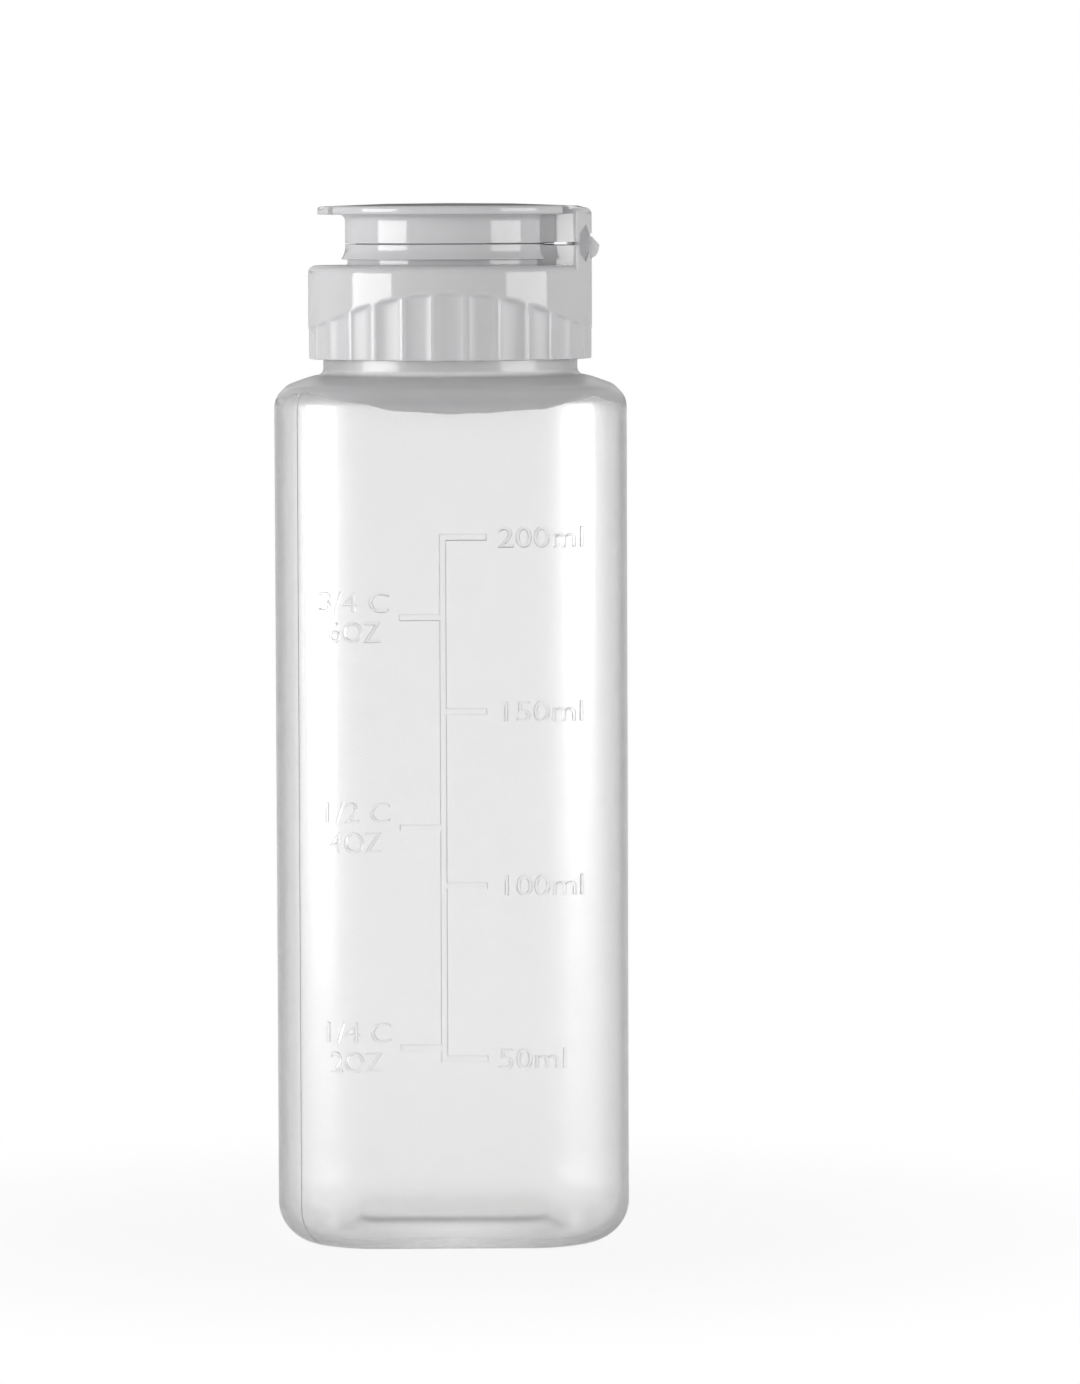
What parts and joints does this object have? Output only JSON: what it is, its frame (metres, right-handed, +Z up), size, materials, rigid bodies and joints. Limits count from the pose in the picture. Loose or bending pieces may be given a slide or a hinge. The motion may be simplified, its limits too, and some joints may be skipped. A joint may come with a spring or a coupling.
{
  "type": "dispensing sauce bottle with flip cap",
  "caption": "Square translucent squeeze bottle for sauce with a measuring scale and a fluted screw cap with a hinged flip lid over a pouring nozzle.",
  "frame": {"origin": "middle of the base, on the surface that the bottle stands on", "axes": "+Z up along the bottle, +X towards the lid's hinge, -Y towards the face with the measuring scale"},
  "size_m": [0.0474, 0.0477, 0.1405],
  "materials": {
    "frosted_bottle": "natural translucent polypropylene, softly frosted",
    "cap_plastic": "glossy white polypropylene, slightly translucent",
    "hinge_film": "thin white polypropylene film, slightly translucent",
    "insert_plastic": "soft white polyethylene",
    "gasket_rubber": "milky silicone",
    "stopper_plastic": "soft milky polyethylene"
  },
  "bodies": {
    "bottle": {"bottle_body": "frosted_bottle"},
    "insert": {"pour_insert": "insert_plastic"},
    "gasket": {"neck_gasket": "gasket_rubber"},
    "cap": {"screw_cap": "cap_plastic", "hinge_wing_left": "hinge_film", "hinge_wing_right": "hinge_film", "hinge_centre_strap": "hinge_film"},
    "lid": {"flip_lid": "cap_plastic", "lid_plug": "stopper_plastic"}
  },
  "joints": [
    {"name": "closure_lift", "type": "slide", "parent": "bottle", "child": "insert", "axis": [0, 0, 1], "range_m": [0, 0.03]},
    {"name": "cap_rise", "type": "slide", "parent": "insert", "child": "gasket", "axis": [0, 0, 1], "range_m": [0, 0.0053]},
    {"name": "cap_turn", "type": "hinge", "parent": "gasket", "child": "cap", "pos_m": [0, 0, 0.125], "axis": [0, 0, 1], "range_deg": [0, 450]},
    {"name": "lid_flip", "type": "hinge", "parent": "cap", "child": "lid", "pos_m": [0.0196, 0, 0.135], "axis": [0, 1, 0], "range_deg": [0, 175], "deforming": ["hinge_wing_left", "hinge_wing_right", "hinge_centre_strap"]}
  ],
  "couplings": [
    {"joint": "cap_rise", "follows": "cap_turn", "m_per_rad": 0.00067323}
  ]
}
